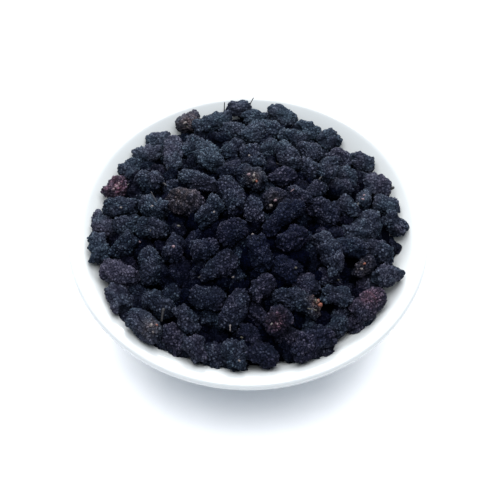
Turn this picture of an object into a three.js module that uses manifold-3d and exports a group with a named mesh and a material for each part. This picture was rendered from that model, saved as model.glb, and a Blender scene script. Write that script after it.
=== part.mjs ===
// A white glazed bowl heaped with dried black mulberries.
// Millimetres, +Z up. The origin is on the table, on the axis of the bowl. The viewer stands at -Y.

import * as THREE from 'three';
import { mergeVertices } from 'three/addons/utils/BufferGeometryUtils.js';
import Module from 'manifold-3d';

const wasm = await Module();
wasm.setup();

// Bowl, driving dimensions
const bowlHeight = 42;
const lipOuterRadius = 75;
const lipInnerRadius = 68.6;
const lipDrop = 0.8;
// Points of the lip's rounded edges: distance in from the outer radius, or out from the inner, and drop
const lipOuterEdge = [[1.6, 3.7], [0.4, 2.9], [0, 1.7], [0.35, 0.6], [1.2, 0.1], [2.4, 0]];
const lipInnerEdge = [[1.2, 0.1], [0.4, 0.35]];
const wallThickness = 3.4;
const floorRadius = 24;
const floorTop = 6.5;
const footOuterRadius = 36;
const footInnerRadius = 31.5;
const footRecess = 2.2;
const footRounding = 0.7;
const wallStartOut = 2.2;
const wallEndOut = -0.3;
const outerWallRings = 7;
const innerWallRings = 9;
const bowlSides = 56;

// Heap, driving dimensions
const fruitGap = 0.3;
const nestGrowth = 0.42;
const heapEdgeRise = 1.5;
const heapTopRise = 23;
const heapCurve = 1.7;
const roomFlare = 20;
const roomFlareRise = 12;
const roomHeight = 60;
// How far the fruit reaches from the axis, every 45 degrees from +X towards +Y
const heapReach = [64, 61, 63.5, 61.5, 65, 66, 66.5, 66];
const coreDepth = 6.6;
const coreEdgeInset = 3.5;
const coreShoulderInset = 8;
const coreWallGap = 1.6;
const coreEdgeHeight = 5;
const coreEdgeCurl = 1;
const coreWallRings = 5;
const coreSides = 20;
const coreRings = 5;

// Single fruits, driving dimensions
const shortestFruit = 11.5;
const longestFruit = 18;
const thinnestFruit = 8.6;
const thickestFruit = 10.6;
const endBallShare = 0.8;
const fruitTaper = 0.1;
const fruitBluntness = 2.6;
const fruitBend = 0.09;
const bendCentre = 0.4;
const knobHeight = 0.07;
const knobHollow = 0.05;
const knobMatch = 0.997;
const fruitDetail = 2;
const deepDetail = 1;
const deepFrom = 2;
const colouredTilt = 0.15;
const seenTilt = 0.25;
const looseTilt = 0.35;
const steepTilt = 1.1;
const steepShare = 0.14;
const looseRise = 1.2;
const looseSpread = 3.4;
const seed = 20417;

// The fruits that stand out on top: x, y, length, thickness, heading in degrees, depth below the top
const seenFruits = [
  [-40, 45, 12, 9, 0, 1],
  [-43, 39, 13, 9, 170, 0],
  [-50, 30, 12, 9, 55, 0],
  [-31, 33, 21, 8.5, 90, 0],
  [-24, 37, 12, 9, 60, 1],
  [-16, 28, 21, 11, 105, 0],
  [-21, 13, 19, 9.5, 145, 0],
  [-33, 15, 15, 8.5, 120, 3],
  [-40, 18, 15, 9, 145, 1],
  [-7, 3, 18, 10, 110, 0],
  [-15, -5, 15, 10, 50, 0],
  [-6, -16, 13, 11, 25, 0],
  [-39, -7, 15, 9.5, 165, 0],
  [-50, -3, 13, 9.5, 175, 0],
  [-60, 1, 14, 9, 120, 0],
  [-52, 7, 16, 9, 170, 1],
  [-62, -11, 14, 9.5, 100, 0],
  [48, 32, 12, 9, 0, 0],
  [54, 20, 13, 10, 165, 0],
  [57, 10, 12, 9, 155, 0],
  [39, 32, 12, 9, 140, 0],
  [42, 1, 12, 9, 145, 1],
  [45, -4, 20, 11.5, 45, 0],
  [61, 1, 12, 9, 145, 0],
  [22, 4, 12, 8.5, 145, 1],
  [27, 8, 12, 8.5, 45, 1],
  [14, -7, 20, 9, 40, 0],
  [30, -1, 14, 11, 150, 0],
  [4, -4, 12, 9, 110, 1],
  [-29, -19, 12, 10, 75, 0],
  [-21, -14, 13, 8.5, 65, 3],
  [-16, -23, 12, 9, 15, 0],
  [-12, -27, 17, 10, 30, 0],
  [-6, -27, 12, 9, 60, 3],
  [-39, -24, 16, 10.5, 100, 0],
  [-52, -25, 20, 10.5, 140, 0],
  [-27, -26, 12, 9, 80, 5],
  [-51, -34, 14, 9.5, 115, 0],
  [-35, -40, 16, 10, 140, 0],
  [-29, -34, 13, 9, 165, 5],
  [-15, -41, 15, 10.5, 175, 0],
  [-4, -44, 18, 10.5, 65, 0],
  [-25, -48, 13, 9, 120, 0],
  [-30, -56, 14, 9, 135, 0],
  [-21, -59, 12, 9.5, 115, 0],
  [-13, -58, 12, 8.5, 160, 2],
  [-5, -62, 12, 10.5, 90, 0],
  [-14, -45, 12, 8.5, 165, 5],
  [5, -23, 16, 9.5, 110, 0],
  [18, -17, 14, 10, 40, 0],
  [15, -29, 12, 10, 145, 1],
  [32, -21, 19, 10, 115, 0],
  [24, -15, 14, 9, 110, 4],
  [5, -38, 12, 9.5, 45, 0],
  [23, -33, 12, 9, 150, 2],
  [35, -37, 13, 8.5, 175, 2],
  [33, -29, 12, 8.5, 5, 4],
  [53, -13, 14, 10, 150, 0],
  [57, -26, 14, 10, 25, 0],
  [47, -25, 12, 8.5, 60, 3],
  [37, -45, 13, 9.5, 60, 1],
  [25, -57, 20, 12, 35, 0],
  [25, -48, 12, 9, 70, 2],
  [4, -45, 12, 8.5, 125, 4],
  [5, -63, 13, 10.5, 155, 0],
  [0, -52, 12, 9, 160, 4],
  [15, -51, 12, 8.5, 165, 4],
  [-11, 57, 12, 9, 15, 0],
  [-4, 62, 12, 8.5, 25, 1],
  [4, 57, 12, 9, 0, 0],
  [14, 59, 14, 9, 170, 0],
  [28, 48, 12, 9, 0, 0],
  [33, 47, 12, 9, 45, 0],
  [-19, 50, 12, 9, 15, 0],
  [-5, 45, 12, 9, 155, 0],
  [1, 42, 14, 9, 50, 0],
  [11, 47, 12, 9, 170, 0],
  [19, 40, 12, 9, 155, 0],
  [-7, 31, 12, 9.5, 30, 0],
  [2, 24, 16, 9.5, 110, 0],
  [8, 33, 16, 9, 55, 2],
  [16, 27, 16, 10, 120, 0],
  [25, 33, 12, 9.5, 145, 0],
  [27, 23, 13, 9.5, 135, 0],
  [33, 20, 19, 9, 70, 0],
  [40, 23, 12, 9, 5, 1],
  [51, 26, 12, 9, 155, 1],
  [37, 14, 13, 8.5, 5, 2],
  [14, 14, 12, 8.5, 10, 2],
  [6, 9, 12, 9, 5, 3],
  [-7, 17, 12, 9, 10, 2],
  [48, 11, 12, 8.5, 80, 2],
  [-47, 9, 12, 9, 10, 3],
  [-44, -33, 13, 9, 150, 4],
  [33, -9, 12, 8.5, 15, 4],
  [-3, -21, 12, 8.5, 60, 5],
  [-21, -24, 12, 8.5, 80, 5],
  [38, -36, 12, 8.5, 160, 4],
  [9, -6, 12, 8.5, 15, 5],
];

// The fruits of another colour, each a piece of its own: name, colour, and place as above
const colouredFruits = [
  ['mulberry_brown_seeded', 0x3a2622, [-26, 56, 12, 10, 30, 0]],
  ['mulberry_red_left', 0x5a1a24, [-56, 20, 12, 9.5, 30, 0]],
  ['mulberry_brown_large', 0x35241f, [-26, 3, 18, 12, 150, 0]],
  ['mulberry_brown_top', 0x45261f, [2, 10, 14, 10, 135, 0]],
  ['mulberry_grey_small', 0x5b4648, [9, 0, 12, 8.5, 30, 0]],
  ['mulberry_pale_seeded', 0x2b2127, [-40, -51, 17, 11, 140, 0]],
  ['mulberry_orange_tipped', 0x33231f, [18, -41, 21, 10, 165, 0]],
  ['mulberry_red_right', 0x461d28, [46, -39, 17, 11.5, 45, 0]],
  ['mulberry_purple', 0x3d1b2a, [11, -50, 12, 11, 45, 0]],
  ['mulberry_seeded_right', 0x3b2424, [47, -23, 12, 8.5, 50, 1]],
];

// Filling and settling
const topTries = 420;
const underTries = 300;
const underDepth = 8;
const topSpacing = 0.78;
const underSpacing = 0.84;
const settleSteps = 160;
const settlePush = 0.32;
const holdSeen = 0.14;
const holdSeenHeight = 0.06;
const holdLoose = 0.025;
const wallClearance = 0.55;
const nearReach = 26;
const tiny = 1e-9;

// Seeded draws between 0 and 1, from a multiplicative rule on whole numbers
let drawState = seed;
function draw() {
  drawState = (drawState * 48271) % 2147483647;
  return drawState / 2147483647;
}

// Height and slope of the bowl's inner wall at radius r, a cubic that flares to the lip
const wallRun = lipInnerRadius - floorRadius;
const wallRise = bowlHeight - lipDrop - floorTop;
const wallSquare = 1.922;
const wallCube = -0.922;

function wallHeight(r) {
  const t = Math.max(0, (r - floorRadius) / wallRun);
  return floorTop + wallRise * (wallSquare * t * t + wallCube * t * t * t);
}

function wallSlope(r) {
  const t = Math.max(0, (r - floorRadius) / wallRun);
  return (wallRise / wallRun) * (2 * wallSquare * t + 3 * wallCube * t * t);
}

// Reach of the fruit in one direction, eased between the values given every 45 degrees
function reachAt(angle) {
  const turns = angle / (2 * Math.PI);
  const place = (turns - Math.floor(turns)) * heapReach.length;
  const low = Math.floor(place) % heapReach.length;
  const high = (low + 1) % heapReach.length;
  const ease = 0.5 - 0.5 * Math.cos(Math.PI * (place - Math.floor(place)));
  return heapReach[low] + (heapReach[high] - heapReach[low]) * ease;
}

// Height of the top of the heap over x, y
function heapTop(x, y) {
  const across = Math.sqrt(x * x + y * y) / reachAt(Math.atan2(y, x));
  const fall = Math.pow(Math.min(across, 1), heapCurve);
  return bowlHeight + heapEdgeRise + (heapTopRise - heapEdgeRise) * (1 - fall);
}

// One fruit: its place, the unit vector along it, and the drawn roll and bend
function makeFruit(x, y, length, width, heading, depth, tilt, held) {
  const radians = heading * (Math.PI / 180);
  const rise = heapTop(x + Math.cos(radians), y + Math.sin(radians));
  const fall = heapTop(x - Math.cos(radians), y - Math.sin(radians));
  const lean = Math.atan((rise - fall) / 2) + tilt;
  return {
    x,
    y,
    z: heapTop(x, y) - width / 2 - depth,
    along: [Math.cos(radians) * Math.cos(lean), Math.sin(radians) * Math.cos(lean), Math.sin(lean)],
    length,
    width,
    depth,
    roll: draw() * 2 * Math.PI,
    bend: (draw() * 2 - 1) * fruitBend * length,
    held,
  };
}

// A fruit stands for three balls in a row while it is placed and settled
function ballsOf(fruit) {
  const big = fruit.width / 2;
  const small = big * endBallShare;
  const out = fruit.length / 2 - small;
  return [[-out, small], [0, big], [out, small]].map(([at, radius]) => ({
    x: fruit.x + fruit.along[0] * at,
    y: fruit.y + fruit.along[1] * at,
    z: fruit.z + fruit.along[2] * at,
    radius,
  }));
}

// True where two fruits would lie too close, seen from above
function overlaps(fruit, other, spacing) {
  const balls = ballsOf(other);
  return ballsOf(fruit).some((a) => balls.some((b) => {
    const apart = Math.sqrt((a.x - b.x) ** 2 + (a.y - b.y) ** 2);
    return apart < (a.radius + b.radius) * spacing;
  }));
}

// Fill a layer: points on a sunflower spiral out to the reach, with drawn size, heading and tilt
function fillLayer(tries, depth, spacing, there) {
  const goldenAngle = Math.PI * (3 - Math.sqrt(5));
  const added = [];
  for (let k = 0; k < tries; k += 1) {
    const angle = k * goldenAngle;
    const length = shortestFruit + (longestFruit - shortestFruit) * draw() * draw();
    const width = thinnestFruit + (thickestFruit - thinnestFruit) * draw();
    const out = (reachAt(angle) - width / 2) * Math.sqrt((k + 0.5) / tries);
    const heading = draw() * 180;
    const steep = draw() < steepShare;
    const tilt = (steep ? steepTilt : looseTilt) * (draw() * 2 - 1);
    const sink = draw() * looseSpread - looseRise;
    const x = out * Math.cos(angle);
    const y = out * Math.sin(angle);
    const fruit = makeFruit(x, y, length, width, heading, depth + sink, tilt, holdLoose);
    if (!there.concat(added).some((other) => overlaps(fruit, other, spacing))) {
      added.push(fruit);
    }
  }
  return added;
}

// Push apart the balls of two fruits that press into each other
function pushApart(balls, otherBalls, move, otherMove) {
  for (const a of balls) {
    for (const b of otherBalls) {
      const dx = a.x - b.x;
      const dy = a.y - b.y;
      const dz = a.z - b.z;
      const apart = Math.sqrt(dx * dx + dy * dy + dz * dz) + tiny;
      const press = a.radius + b.radius - apart;
      if (press > 0) {
        const push = (settlePush * press) / apart;
        [dx, dy, dz].forEach((difference, axis) => {
          move[axis] += difference * push;
          otherMove[axis] -= difference * push;
        });
      }
    }
  }
}

// How far a fruit must move to keep its balls off the bowl's wall
function moveOffWall(fruit) {
  const move = [0, 0, 0];
  for (const ball of ballsOf(fruit)) {
    const r = Math.sqrt(ball.x * ball.x + ball.y * ball.y) + tiny;
    const slope = wallSlope(r);
    const steep = Math.sqrt(1 + slope * slope);
    const press = ball.radius + wallClearance - (ball.z - wallHeight(r)) / steep;
    if (press > 0) {
      move[0] -= (press * slope * ball.x) / (steep * r);
      move[1] -= (press * slope * ball.y) / (steep * r);
      move[2] += press / steep;
    }
  }
  return move;
}

function shift(fruit, move) {
  fruit.x += move[0];
  fruit.y += move[1];
  fruit.z += move[2];
}

// Settle the heap: fruits push apart, stay off the wall and are drawn back to their places
function settle(fruits) {
  const homes = fruits.map((fruit) => [fruit.x, fruit.y, fruit.z]);
  for (let step = 0; step < settleSteps; step += 1) {
    const balls = fruits.map(ballsOf);
    const moves = fruits.map((fruit, i) => {
      const holdHeight = Math.min(fruit.held, holdSeenHeight);
      const [x, y, z] = homes[i];
      return [fruit.held * (x - fruit.x), fruit.held * (y - fruit.y), holdHeight * (z - fruit.z)];
    });
    fruits.forEach((a, i) => {
      fruits.slice(0, i).forEach((b, j) => {
        if (Math.abs(a.x - b.x) < nearReach && Math.abs(a.y - b.y) < nearReach) {
          pushApart(balls[i], balls[j], moves[i], moves[j]);
        }
      });
    });
    fruits.forEach((fruit, i) => {
      shift(fruit, moves[i]);
      shift(fruit, moveOffWall(fruit));
    });
  }
}

// A geometry with only its positions and shared vertices, and back from a cut or joined solid
function toSolid(geometry) {
  const bare = geometry.clone();
  bare.deleteAttribute('normal');
  bare.deleteAttribute('uv');
  const merged = mergeVertices(bare, 1e-4);
  return new wasm.Manifold(new wasm.Mesh({
    numProp: 3,
    vertProperties: new Float32Array(merged.attributes.position.array),
    triVerts: new Uint32Array(merged.index.array),
  }));
}

function toGeometry(solid) {
  const mesh = solid.getMesh();
  const geometry = new THREE.BufferGeometry();
  geometry.setAttribute('position', new THREE.BufferAttribute(mesh.vertProperties, 3));
  geometry.setIndex(new THREE.BufferAttribute(mesh.triVerts, 1));
  geometry.computeVertexNormals();
  return geometry;
}

// A profile of [radius, height] points turned about the Z axis
function turned(points, sides) {
  const profile = points.map(([r, z]) => new THREE.Vector2(r, z));
  return new THREE.LatheGeometry(profile, sides).rotateX(Math.PI / 2);
}

// Points on the inner wall, or moved off it square to its surface
function wallPoints(from, to, count, off) {
  return Array.from({ length: count }, (unused, i) => {
    const r = from + ((to - from) * i) / (count - 1);
    const steep = Math.sqrt(1 + wallSlope(r) * wallSlope(r));
    return [r - (off * wallSlope(r)) / steep, wallHeight(r) + off / steep];
  });
}

// The bowl: foot ring, flared wall and a flat lip with a rounded edge
function bowlProfile() {
  const wallStart = footOuterRadius + wallStartOut;
  const wallEnd = lipInnerRadius + wallEndOut;
  return [
    [0, footRecess],
    [footInnerRadius - footRounding, footRecess],
    [footInnerRadius, footRounding],
    [footInnerRadius + footRounding, 0],
    [footOuterRadius - footRounding, 0],
    [footOuterRadius, footRounding],
    ...wallPoints(wallStart, wallEnd, outerWallRings, -wallThickness),
    ...lipOuterEdge.map(([inset, drop]) => [lipOuterRadius - inset, bowlHeight - drop]),
    ...lipInnerEdge.map(([out, drop]) => [lipInnerRadius + out, bowlHeight - drop]),
    ...wallPoints(floorRadius, lipInnerRadius, innerWallRings, 0).reverse(),
    [0, floorTop],
  ];
}

// The room inside the bowl that the fruit may fill, open far above the lip
function fruitRoom() {
  const wide = lipOuterRadius + roomFlare;
  return turned([
    [0, floorTop + fruitGap],
    ...wallPoints(floorRadius, lipInnerRadius + 1, innerWallRings, fruitGap),
    [wide, bowlHeight + roomFlareRise],
    [wide, bowlHeight + roomHeight],
    [0, bowlHeight + roomHeight],
  ], bowlSides);
}

// The packed fruit below the top ones: floor, wall, edge and mound of its outline in one direction
function coreOutline(angle) {
  const edge = reachAt(angle) - coreEdgeInset;
  const shoulder = reachAt(angle) - coreShoulderInset;
  const mound = Array.from({ length: coreRings + 1 }, (unused, ring) => {
    const r = shoulder * Math.sqrt((coreRings - ring) / coreRings);
    return [r, heapTop(r * Math.cos(angle), r * Math.sin(angle)) - coreDepth];
  });
  return [
    [0, floorTop + coreWallGap],
    ...wallPoints(floorRadius, edge, coreWallRings, coreWallGap),
    [edge - coreEdgeCurl, wallHeight(edge) + coreWallGap + coreEdgeHeight],
    ...mound,
  ];
}

// The mound of packed fruit: the outline turned about the axis, drawn in to the reach all round
function heapCore() {
  const core = turned(coreOutline(0), coreSides);
  const position = core.attributes.position;
  const count = coreOutline(0).length;
  for (let i = 0; i < position.count; i += 1) {
    const angle = Math.atan2(position.getY(i), position.getX(i));
    const [r, z] = coreOutline(angle)[i % count];
    position.setXYZ(i, r * Math.cos(angle), r * Math.sin(angle), z);
  }
  return core;
}

// The outline of one fruit: a ball of small faces with raised knobs, drawn out, tapered and bent
function knobDirections() {
  const base = new THREE.OctahedronGeometry(1, 0).attributes.position;
  const directions = [];
  for (let face = 0; face < base.count; face += 3) {
    const centre = new THREE.Vector3();
    for (let corner = 0; corner < 3; corner += 1) {
      const point = new THREE.Vector3().fromBufferAttribute(base, face + corner);
      directions.push(point.clone().normalize());
      centre.add(point);
    }
    directions.push(centre.normalize());
  }
  return directions;
}

const knobs = knobDirections();

function fruitGeometry(fruit, growth) {
  const detail = fruit.depth < deepFrom ? fruitDetail : deepDetail;
  const geometry = new THREE.OctahedronGeometry(1, detail);
  const position = geometry.attributes.position;
  const along = new THREE.Vector3(...fruit.along);
  const side = new THREE.Vector3(-along.y, along.x, 0).normalize();
  const up = new THREE.Vector3().crossVectors(along, side);
  const point = new THREE.Vector3();
  for (let i = 0; i < position.count; i += 1) {
    point.fromBufferAttribute(position, i);
    const isKnob = knobs.some((knob) => knob.dot(point) > knobMatch);
    const swell = isKnob ? 1 + knobHeight : 1 - knobHollow;
    const round = Math.sqrt(point.y * point.y + point.z * point.z) + tiny;
    const blunt = Math.pow(Math.min(Math.abs(point.x), 1), fruitBluntness);
    const radius = (fruit.width / 2) * swell * (1 - fruitTaper * point.x) + growth;
    const thick = (radius * Math.pow(1 - blunt, 1 / fruitBluntness)) / round;
    const far = point.x * ((fruit.length / 2) * swell + growth);
    const across = thick * (point.y * Math.cos(fruit.roll) - point.z * Math.sin(fruit.roll));
    const high = thick * (point.y * Math.sin(fruit.roll) + point.z * Math.cos(fruit.roll));
    const bent = across + fruit.bend * (point.x * point.x - bendCentre);
    position.setXYZ(
      i,
      fruit.x + along.x * far + side.x * bent + up.x * high,
      fruit.y + along.y * far + side.y * bent + up.y * high,
      fruit.z + along.z * far + side.z * bent + up.z * high,
    );
  }
  return geometry;
}

// The largest closed body of a cut solid; loose scraps and sealed hollows fall away
function largestBody(solid) {
  return solid.decompose().sort((a, b) => b.volume() - a.volume())[0];
}

// Place every fruit, then settle them together
const coloured = colouredFruits.map(([name, colour, place]) => (
  { name, colour, fruit: makeFruit(...place, (draw() * 2 - 1) * colouredTilt, holdSeen) }
));
const seen = seenFruits.map((place) => makeFruit(...place, (draw() * 2 - 1) * seenTilt, holdSeen));
const marked = coloured.map((piece) => piece.fruit).concat(seen);
const loose = fillLayer(topTries, 0, topSpacing, marked);
const top = marked.concat(loose);
const under = fillLayer(underTries, underDepth, underSpacing, []);
settle(top.concat(under));

// The black fruits on top are joined to the mound; the others lie in nests cut for them
const room = toSolid(fruitRoom());
let heap = toSolid(heapCore());
seen.concat(loose).forEach((fruit) => {
  heap = heap.add(toSolid(fruitGeometry(fruit, 0)));
});
heap = heap.intersect(room);
coloured.forEach((piece, i) => {
  piece.solid = toSolid(fruitGeometry(piece.fruit, 0)).intersect(room);
  coloured.slice(0, i).forEach((other) => {
    piece.solid = piece.solid.subtract(other.nest);
  });
  piece.nest = toSolid(fruitGeometry(piece.fruit, nestGrowth));
  heap = heap.subtract(piece.nest);
});
heap = largestBody(heap);

const glaze = new THREE.MeshStandardMaterial({ color: 0xf4f5f6, roughness: 0.25, metalness: 0 });
const darkFruit = new THREE.MeshStandardMaterial({ color: 0x1d1e27, roughness: 0.85, metalness: 0 });

const bowlOfMulberries = new THREE.Group();

function addPiece(name, geometry, material) {
  const mesh = new THREE.Mesh(geometry, material);
  mesh.name = name;
  bowlOfMulberries.add(mesh);
}

addPiece('bowl', turned(bowlProfile(), bowlSides), glaze);
addPiece('mulberry_heap', toGeometry(heap), darkFruit);
coloured.forEach(({ name, colour, solid }) => {
  const skin = new THREE.MeshStandardMaterial({ color: colour, roughness: 0.85, metalness: 0 });
  addPiece(name, toGeometry(largestBody(solid)), skin);
});

export default bowlOfMulberries;
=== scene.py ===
"""A white glazed bowl heaped with dried black mulberries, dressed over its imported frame.

Lengths are millimetres while a surface is worked out, and metres in the finished mesh.
The origin is on the table, on the axis of the bowl, +Z is up, and the viewer stands at -Y.
"""

import functools
import math

import bpy
import numpy as np
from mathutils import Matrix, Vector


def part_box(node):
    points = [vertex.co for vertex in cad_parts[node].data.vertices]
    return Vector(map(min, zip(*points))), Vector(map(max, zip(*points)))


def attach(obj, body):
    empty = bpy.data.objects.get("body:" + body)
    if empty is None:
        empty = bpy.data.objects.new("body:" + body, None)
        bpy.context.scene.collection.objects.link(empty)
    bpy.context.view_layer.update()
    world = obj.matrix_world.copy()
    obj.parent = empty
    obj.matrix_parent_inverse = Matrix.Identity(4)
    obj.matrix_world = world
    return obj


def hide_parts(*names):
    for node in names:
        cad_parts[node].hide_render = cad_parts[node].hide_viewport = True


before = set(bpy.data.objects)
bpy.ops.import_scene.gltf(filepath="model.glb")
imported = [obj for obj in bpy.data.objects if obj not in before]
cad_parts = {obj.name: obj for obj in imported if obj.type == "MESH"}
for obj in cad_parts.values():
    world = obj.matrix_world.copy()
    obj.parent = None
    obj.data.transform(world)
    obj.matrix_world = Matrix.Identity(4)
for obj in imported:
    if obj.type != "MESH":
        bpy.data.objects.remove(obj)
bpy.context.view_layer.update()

bl_info = {
    "name": "Bowl of dried mulberries",
    "version": (1, 0, 0),
    "blender": (4, 5, 0),
    "location": "3D View > Sidebar > Mulberries",
    "description": "A white glazed bowl heaped with dried black mulberries",
    "category": "Object",
}

MM = 0.001
GOLDEN_ANGLE = math.pi * (3 - math.sqrt(5))

# Bowl, in millimetres: its outside comes from the frame
BOWL_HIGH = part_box("bowl")[1]
BOWL_HEIGHT = BOWL_HIGH.z / MM
LIP_OUTER_RADIUS = BOWL_HIGH.x / MM
LIP_INNER_RADIUS = 68.6
LIP_DROP = 0.8
LIP_EDGE_HALF_HEIGHT = 1.85
LIP_EDGE_HALF_WIDTH = 1.7
LIP_FLAT_START = 71.4
WALL_THICKNESS = 3.4
FLOOR_RADIUS = 24.0
FLOOR_TOP = 6.5
FLOOR_RINGS = (17, 10, 4, 0)
FOOT_OUTER_RADIUS = 36.0
FOOT_INNER_RADIUS = 31.5
FOOT_RECESS = 2.2
FOOT_ROUNDING = 0.7
FOOT_FILLET = 1.4
FOOT_FLARE = (0.8, 7.0)
RECESS_RINGS = (0, 10, 20, 28)
WALL_START_OUT = 2.2
BOWL_SIDES = 192

# Inner wall: a cubic of the run from the floor to the lip
WALL_RUN = LIP_INNER_RADIUS - FLOOR_RADIUS
WALL_RISE = BOWL_HEIGHT - LIP_DROP - FLOOR_TOP
WALL_SQUARE = 1.922
WALL_CUBE = -0.922

# Heap, in millimetres; the reach is given every 45 degrees from +X towards +Y
HEAP_EDGE_RISE = 1.5
HEAP_TOP_RISE = 23.0
HEAP_CURVE = 1.7
HEAP_REACH = (64, 61, 63.5, 61.5, 65, 66, 66.5, 66)

# Packed mound under the fruits: its waves are given per millimetre along X and Y
CORE_DEPTH = 12.0
CORE_WALL_GAP = 1.2
CORE_INSET = 5.0
CORE_EDGE_DEPTH = 6.0
CORE_EDGE_STEP = (0.6, 0.4)
CORE_EDGE_STEEPNESS = 5.0
CORE_WAVES = ((0.75, 0.2), (-0.3, 0.7))
CORE_WAVE_HEIGHT = 1.3
CORE_RINGS = 24
CORE_SIDES = 80
# Painted shade: the mound takes the deep colour, hardly any crest and the lowest tone, as it shows only in
# the shaded gaps
CORE_PAINTED_SHADE_LOOK = {"crest": 0.1, "tone": -1.0, "hue": 0.5, "stain": 0.0}

# Single fruits
SHORTEST_FRUIT = 11.5
LONGEST_FRUIT = 18.0
THINNEST_FRUIT = 8.6
THICKEST_FRUIT = 10.6
END_BALL_SHARE = 0.8
BLUNTNESS = (2.4, 3.2)
TAPER = (-0.16, 0.2)
TAPER_EVENING = 0.3
WAIST_PLACE = 0.55
WAIST_DEPTH = 0.15
WAIST_WIDTH = 0.24
FRUIT_BEND = 0.09
BEND_CENTRE = 0.4
COLOURED_TILT = 0.15
SEEN_TILT = 0.25
LOOSE_TILT = 0.35
STEEP_TILT = 1.1
STEEP_SHARE = 0.14
LOOSE_RISE = 1.2
LOOSE_SPREAD = 3.4
SEED = 20417

# A fruit's own draws start from its place, in tenths of a millimetre and moved above zero
PLACE_SCALE = 10
PLACE_SHIFT = 5000

# The fruits that stand out on top: x, y, length, thickness, heading in degrees, depth below the top
SEEN_FRUITS = [
    (-40, 45, 12, 9, 0, 1), (-43, 39, 13, 9, 170, 0), (-50, 30, 12, 9, 55, 0), (-31, 33, 21, 8.5, 90, 0),
    (-24, 37, 12, 9, 60, 1), (-16, 28, 21, 11, 105, 0), (-21, 13, 19, 9.5, 145, 0),
    (-33, 15, 15, 8.5, 120, 3), (-40, 18, 15, 9, 145, 1), (-7, 3, 18, 10, 110, 0), (-15, -5, 15, 10, 50, 0),
    (-6, -16, 13, 11, 25, 0), (-39, -7, 15, 9.5, 165, 0), (-50, -3, 13, 9.5, 175, 0),
    (-60, 1, 14, 9, 120, 0), (-52, 7, 16, 9, 170, 1), (-62, -11, 14, 9.5, 100, 0), (48, 32, 12, 9, 0, 0),
    (54, 20, 13, 10, 165, 0), (57, 10, 12, 9, 155, 0), (39, 32, 12, 9, 140, 0), (42, 1, 12, 9, 145, 1),
    (45, -4, 20, 11.5, 45, 0), (61, 1, 12, 9, 145, 0), (22, 4, 12, 8.5, 145, 1), (27, 8, 12, 8.5, 45, 1),
    (14, -7, 20, 9, 40, 0), (30, -1, 14, 11, 150, 0), (4, -4, 12, 9, 110, 1), (-29, -19, 12, 10, 75, 0),
    (-21, -14, 13, 8.5, 65, 3), (-16, -23, 12, 9, 15, 0), (-12, -27, 17, 10, 30, 0),
    (-6, -27, 12, 9, 60, 3), (-39, -24, 16, 10.5, 100, 0), (-52, -25, 20, 10.5, 140, 0),
    (-27, -26, 12, 9, 80, 5), (-51, -34, 14, 9.5, 115, 0), (-35, -40, 16, 10, 140, 0),
    (-29, -34, 13, 9, 165, 5), (-15, -41, 15, 10.5, 175, 0), (-4, -44, 18, 10.5, 65, 0),
    (-25, -48, 13, 9, 120, 0), (-30, -56, 14, 9, 135, 0), (-21, -59, 12, 9.5, 115, 0),
    (-13, -58, 12, 8.5, 160, 2), (-5, -62, 12, 10.5, 90, 0), (-14, -45, 12, 8.5, 165, 5),
    (5, -23, 16, 9.5, 110, 0), (18, -17, 14, 10, 40, 0), (15, -29, 12, 10, 145, 1),
    (32, -21, 19, 10, 115, 0), (24, -15, 14, 9, 110, 4), (5, -38, 12, 9.5, 45, 0), (23, -33, 12, 9, 150, 2),
    (35, -37, 13, 8.5, 175, 2), (33, -29, 12, 8.5, 5, 4), (53, -13, 14, 10, 150, 0),
    (57, -26, 14, 10, 25, 0), (47, -25, 12, 8.5, 60, 3), (37, -45, 13, 9.5, 60, 1),
    (25, -57, 20, 12, 35, 0), (25, -48, 12, 9, 70, 2), (4, -45, 12, 8.5, 125, 4),
    (5, -63, 13, 10.5, 155, 0), (0, -52, 12, 9, 160, 4), (15, -51, 12, 8.5, 165, 4),
    (-11, 57, 12, 9, 15, 0), (-4, 62, 12, 8.5, 25, 1), (4, 57, 12, 9, 0, 0), (14, 59, 14, 9, 170, 0),
    (28, 48, 12, 9, 0, 0), (33, 47, 12, 9, 45, 0), (-19, 50, 12, 9, 15, 0), (-5, 45, 12, 9, 155, 0),
    (1, 42, 14, 9, 50, 0), (11, 47, 12, 9, 170, 0), (19, 40, 12, 9, 155, 0), (-7, 31, 12, 9.5, 30, 0),
    (2, 24, 16, 9.5, 110, 0), (8, 33, 16, 9, 55, 2), (16, 27, 16, 10, 120, 0), (25, 33, 12, 9.5, 145, 0),
    (27, 23, 13, 9.5, 135, 0), (33, 20, 19, 9, 70, 0), (40, 23, 12, 9, 5, 1), (51, 26, 12, 9, 155, 1),
    (37, 14, 13, 8.5, 5, 2), (14, 14, 12, 8.5, 10, 2), (6, 9, 12, 9, 5, 3), (-7, 17, 12, 9, 10, 2),
    (48, 11, 12, 8.5, 80, 2), (-47, 9, 12, 9, 10, 3), (-44, -33, 13, 9, 150, 4), (33, -9, 12, 8.5, 15, 4),
    (-3, -21, 12, 8.5, 60, 5), (-21, -24, 12, 8.5, 80, 5), (38, -36, 12, 8.5, 160, 4),
    (9, -6, 12, 8.5, 15, 5),
]
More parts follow.
